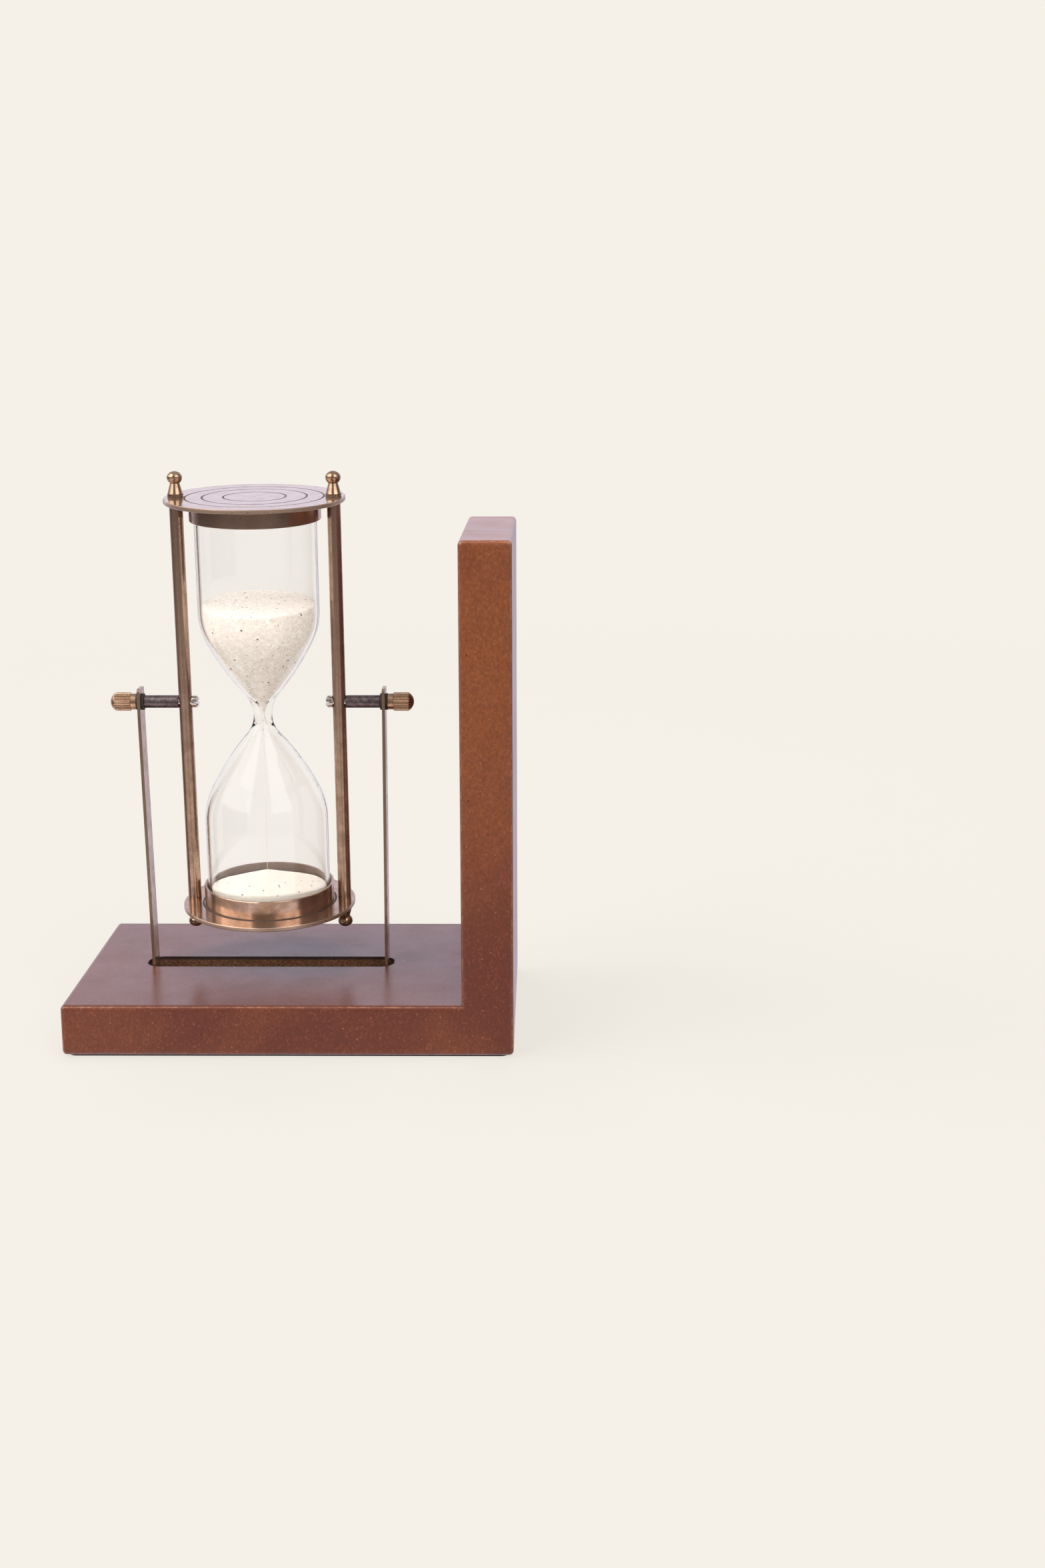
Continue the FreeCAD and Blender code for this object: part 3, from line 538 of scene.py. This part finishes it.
LOOKS = {
    "board": board_material(),
    "turned": brass_material(
        "antique_brass_turned", BRASS_LIGHT, BRASS_DARK, "turned",
        roughness=0.18, depth=0.6, crease=collar_shade),
    "plate": brass_material(
        "antique_brass_plate", BRASS_LIGHT, (0.46, 0.32, 0.24, 1), "turned",
        roughness=0.12, depth=0.0, crease=plate_polish_and_shade),
    "drawn": brass_material(
        "antique_brass_drawn", (0.52, 0.36, 0.26, 1), (0.36, 0.235, 0.165, 1), "drawn",
        roughness=0.21),
    "strip": brass_material(
        "antique_brass_strip", (0.5, 0.37, 0.27, 1), (0.36, 0.25, 0.17, 1), "strip",
        roughness=0.25, depth=0.4),
    "finial": brass_material(
        "antique_brass_finial", (0.5, 0.35, 0.24, 1), (0.34, 0.22, 0.145, 1), "turned",
        roughness=0.14, depth=0.5, crease=finial_shade),
    "knurled": knurled_material(),
    "gunmetal": small_metal("gunmetal", (0.26, 0.21, 0.215, 1), (0.13, 0.1, 0.1, 1), 0.3, 0.45, 5000.0),
    "zinc": small_metal("zinc", (0.8, 0.77, 0.72, 1), (0.6, 0.55, 0.46, 1), 0.12, 0.26, 2500.0),
    "fibre": fibre_material(),
    "felt": felt_material(),
    "cork": cork_material(),
    "beech": beech_material(),
    "glass": glass_material(),
    "sand": sand_material(),
}

NODE_LOOKS = {
    "base_board": "board", "upright_board": "board", "mitre_dowels": "beech",
    "felt_pad": "felt", "yoke": "strip", "yoke_screws": "zinc",
    "top_plate": "plate", "bottom_plate": "plate",
    "top_collar": "turned", "bottom_collar": "turned",
    "top_cushion": "cork", "bottom_cushion": "cork",
    "glass": "glass",
}
for side in ("left", "right"):
    NODE_LOOKS[side + "_rod"] = "drawn"
    NODE_LOOKS[side + "_pivot_screw"] = "zinc"
    NODE_LOOKS[side + "_spacer"] = "gunmetal"
    NODE_LOOKS[side + "_inner_washer"] = "fibre"
    NODE_LOOKS[side + "_outer_washer"] = "fibre"
    NODE_LOOKS[side + "_thumb_nut"] = "knurled"
    NODE_LOOKS["top_" + side + "_finial"] = "finial"
    NODE_LOOKS["bottom_" + side + "_finial"] = "finial"
for node, look in NODE_LOOKS.items():
    for holder in frame["nodes"][node].material_slots:
        holder.material = LOOKS[look]


# Sand: the CAD's plain solids, remade with grains and uneven surfaces

def to_hourglass(point):
    return Matrix.Rotation(-LEAN, 3, "X") @ (Vector(point) - PIVOT)


def heaped(name, node, voxel, above_w, ruffle):
    """A remeshed copy of a CAD sand solid, its sides a hair rough and inside the CAD's.

    The free surface, which faces up along the glass above above_w, is ruffled.
    """
    upward = 0.6
    hair = 0.03 * MM
    grain_scale = 1400
    ripple_scale = 420
    roll_scale = 130
    source = frame["nodes"][node]
    mesh = source.data.copy()
    mesh.name = name
    piece = bpy.data.objects.new(name, mesh)
    bpy.context.scene.collection.objects.link(piece)
    remesh = piece.modifiers.new("grains", "REMESH")
    remesh.mode = "VOXEL"
    remesh.voxel_size = voxel
    remesh.use_smooth_shade = True
    applied = bpy.data.meshes.new_from_object(
        piece.evaluated_get(bpy.context.evaluated_depsgraph_get()))
    piece.modifiers.clear()
    piece.data = applied
    applied.name = name
    normals = [vertex.normal.copy() for vertex in applied.vertices]
    for vertex, normal in zip(applied.vertices, normals):
        local = to_hourglass(vertex.co)
        free = normal.dot(GLASS_AXIS) > upward and local.z > above_w
        rough = noise.noise(vertex.co * grain_scale)
        if free:
            roll = noise.noise(vertex.co * roll_scale)
            roll += 0.5 * noise.noise(vertex.co * ripple_scale)
            vertex.co += normal * (ruffle * (roll - 0.4) + 0.05 * MM * rough)
        else:
            vertex.co -= normal * (hair + hair * abs(rough))
    applied.shade_smooth()
    applied.materials.clear()
    applied.materials.append(LOOKS["sand"])
    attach(piece, "hourglass")
    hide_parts(node)


def stream():
    """The falling thread of sand: loose grains on the plumb line below the neck."""
    end_gap = 0.2 * MM
    low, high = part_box("sand_stream")
    centre = middle("sand_stream")
    scatter = random.Random(7)
    grains = bmesh.new()
    z = low[2] + end_gap
    while z < high[2] - end_gap:
        radius = scatter.uniform(0.1, 0.15) * MM
        angle = scatter.uniform(0, 2 * math.pi)
        off = scatter.uniform(0, 0.17) * MM
        spot = Vector((centre.x + off * math.cos(angle), centre.y + off * math.sin(angle), z))
        stretch = Matrix.Diagonal((1, scatter.uniform(0.8, 1), scatter.uniform(1, 1.4), 1))
        turn = Matrix.Rotation(angle, 4, "Z")
        bmesh.ops.create_icosphere(grains, subdivisions=1, radius=radius,
                                   matrix=Matrix.Translation(spot) @ turn @ stretch)
        z += scatter.uniform(0.16, 0.44) * MM
    mesh = bpy.data.meshes.new("falling_sand")
    grains.to_mesh(mesh)
    grains.free()
    mesh.shade_smooth()
    mesh.materials.append(LOOKS["sand"])
    piece = bpy.data.objects.new("falling_sand", mesh)
    bpy.context.scene.collection.objects.link(piece)
    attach(piece, "hourglass")
    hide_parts("sand_stream")


heaped("sand_in_upper_bulb", "sand_upper", voxel=0.55 * MM, above_w=20 * MM, ruffle=0.14 * MM)
heaped("sand_in_lower_bulb", "sand_lower", voxel=0.5 * MM, above_w=-74.5 * MM, ruffle=0.16 * MM)
stream()


# Floor, light and camera

FLOOR_REACH = 1.6
FLOOR_Z = -0.2 * MM
LOOK_AT = (0, 0, 0.09)
LOOK_AT_HIGHER = (0, 0, 0.1)
WARM_WHITE = (1.0, 0.98, 0.96)
PINK_WHITE = (1.0, 0.98, 1.0)

# Lens and sensor in millimetres; right and forward are the camera's own directions
CAMERA_LENS = 47.862
CAMERA_SENSOR = 36
CAMERA_PLACE = (0.089887, -0.73672, 0.2524)
CAMERA_RIGHT = (0.99993687, 0.0109809, -0.00238349)
CAMERA_FORWARD = (-0.01123622, 0.97539303, -0.22018672)


def floor():
    """A pale plane, mostly glowing, that takes only a soft shadow and fades out far away."""
    mesh = bpy.data.meshes.new("floor")
    signs = ((-1, -1), (1, -1), (1, 1), (-1, 1))
    corners = [(x_sign * FLOOR_REACH, y_sign * FLOOR_REACH, 0) for x_sign, y_sign in signs]
    mesh.from_pydata(corners, [], [(0, 1, 2, 3)])
    plane = bpy.data.objects.new("floor", mesh)
    plane.location.z = FLOOR_Z
    bpy.context.scene.collection.objects.link(plane)
    material, tree = new_material("floor")
    place = object_coords(tree)
    mottle = grain(tree, place, 40, 3, 0.5)
    shade = blend(tree, mottle, (0.48, 0.466, 0.435, 1), (0.5, 0.485, 0.452, 1))
    matt = put(tree, "ShaderNodeBsdfDiffuse", {"Color": shade})
    glow = put(tree, "ShaderNodeEmission", {"Color": BACKGROUND, "Strength": 1.0})
    lit = put(tree, "ShaderNodeMixShader", {0: 0.8, 1: matt.outputs[0], 2: glow.outputs[0]})
    away = put(tree, "ShaderNodeVectorMath", {0: place}, operation="LENGTH").outputs["Value"]
    open_way = put(tree, "ShaderNodeBsdfTransparent")
    faded = put(tree, "ShaderNodeMixShader", {
        0: remap(tree, away, 0.35, 1.3), 1: lit.outputs[0], 2: open_way.outputs[0]})
    put(tree, "ShaderNodeOutputMaterial", {0: faded.outputs[0]})
    mesh.materials.append(material)
    plane.visible_glossy = False


def studio_world():
    """A pale studio: a table, a wall behind, and soft boxes in front and on the left.

    It lights the object and shows in its reflections. The camera, and rays through the glass, see
    the plain background instead. Azimuth is 0 at -Y and grows towards +X, and height is above the
    horizon, both in degrees.
    """
    world = bpy.data.worlds.new("studio")
    bpy.context.scene.world = world
    world.use_nodes = True
    tree = world.node_tree
    tree.nodes.clear()
    x, y, z = split(tree, put(tree, "ShaderNodeTexCoord").outputs["Generated"])
    degree = 180 / math.pi
    azimuth = product(tree, calc(tree, "ARCTAN2", x, calc(tree, "MULTIPLY", y, -1.0)), degree)
    height = product(tree, calc(tree, "ARCSINE", z), degree)

    def band(value, low, high, soft):
        rise = remap(tree, value, low - soft, low + soft)
        fall = remap(tree, value, high + soft, high - soft)
        return calc(tree, "MULTIPLY", rise, fall)

    turned = calc(tree, "ABSOLUTE", azimuth)
    behind = remap(tree, turned, 105, 140)
    wall = product(tree, behind, band(height, -1, 25, 3))
    wall_glow = blend(tree, remap(tree, height, 6, 13), (0.84, 0.84, 0.98, 1), (1.0, 0.99, 1.2, 1))
    far_table = product(tree, behind, remap(tree, height, 2, -4))
    above = remap(tree, height, 38, 62)
    front = product(tree, remap(tree, turned, 104, 84), band(height, -3, 28, 4))
    high_back = product(tree, remap(tree, turned, 84, 112), band(height, 28, 75, 6))
    left_box = product(tree, band(azimuth, -92, -26, 4), band(height, 14, 68, 3))
    right_box = product(tree, band(azimuth, 18, 72, 4), band(height, 14, 68, 3))
    side_box = product(tree, band(azimuth, -122, -88, 6), band(height, 12, 60, 6))
    table = remap(tree, height, -13, -23, smooth=False)
    pools = calc(tree, "MAXIMUM", band(azimuth, -68, -12, 7), band(azimuth, 16, 62, 8))
    pools = product(tree, pools, remap(tree, height, -13, -19))
    tabletop = blend(tree, pools, (0.86, 0.7, 0.6, 1), (1.25, 1.17, 1.24, 1))

    # Each layer covers the ones before it
    layers = (
        (table, tabletop),
        (far_table, (0.78, 0.73, 0.86, 1)),
        (wall, wall_glow),
        (above, (0.5, 0.48, 0.51, 1)),
        (high_back, (0.5, 0.48, 0.5, 1)),
        (front, (0.32, 0.3, 0.29, 1)),
        (side_box, (1.7, 1.6, 1.5, 1)),
        (left_box, (3.6, 3.5, 3.4, 1)),
        (right_box, (3.0, 2.9, 2.85, 1)),
    )
    dark = put(tree, "ShaderNodeRGB")
    dark.outputs[0].default_value = (0.085, 0.075, 0.085, 1)
    light = dark.outputs[0]
    for mask, colour in layers:
        light = blend(tree, mask, light, colour)
    path = put(tree, "ShaderNodeLightPath")
    seen = calc(tree, "MAXIMUM", path.outputs["Is Camera Ray"], path.outputs["Is Transmission Ray"])
    result = blend(tree, seen, light, BACKGROUND)
    back = put(tree, "ShaderNodeBackground", {"Color": result, "Strength": 1.0})
    put(tree, "ShaderNodeOutputWorld", {0: back.outputs[0]})


def lamp(name, place, target, size, power, colour):
    """A square soft box that lights the object but leaves reflections to the studio."""
    light = bpy.data.lights.new(name, "AREA")
    light.shape = "RECTANGLE"
    light.size = size
    light.size_y = size
    light.energy = power
    light.color = colour
    holder = bpy.data.objects.new(name, light)
    holder.location = place
    holder.rotation_euler = (Vector(target) - Vector(place)).to_track_quat("-Z", "Y").to_euler()
    holder.visible_camera = False
    holder.visible_glossy = False
    holder.visible_transmission = False
    bpy.context.scene.collection.objects.link(holder)


def camera():
    """The view of the object from the front, slightly above and to the right."""
    data = bpy.data.cameras.new("camera")
    data.lens = CAMERA_LENS
    data.sensor_width = CAMERA_SENSOR
    data.clip_start = 0.01
    data.clip_end = 200
    holder = bpy.data.objects.new("camera", data)
    right = Vector(CAMERA_RIGHT)
    forward = Vector(CAMERA_FORWARD)
    up = right.cross(forward)
    turn = Matrix((right, up, -forward)).transposed().to_4x4()
    holder.matrix_world = Matrix.Translation(CAMERA_PLACE) @ turn
    bpy.context.scene.collection.objects.link(holder)
    bpy.context.scene.camera = holder


floor()
studio_world()
lamp("key", (-1.0, 0.15, 0.9), LOOK_AT, size=0.5, power=4.0, colour=WARM_WHITE)
lamp("fill", (0.35, -1.2, 0.6), LOOK_AT, size=0.8, power=3.9, colour=WARM_WHITE)
lamp("top", (-0.02, 0.3, 1.3), LOOK_AT_HIGHER, size=0.45, power=7.5, colour=PINK_WHITE)
camera()
bpy.context.scene.view_settings.view_transform = "Standard"
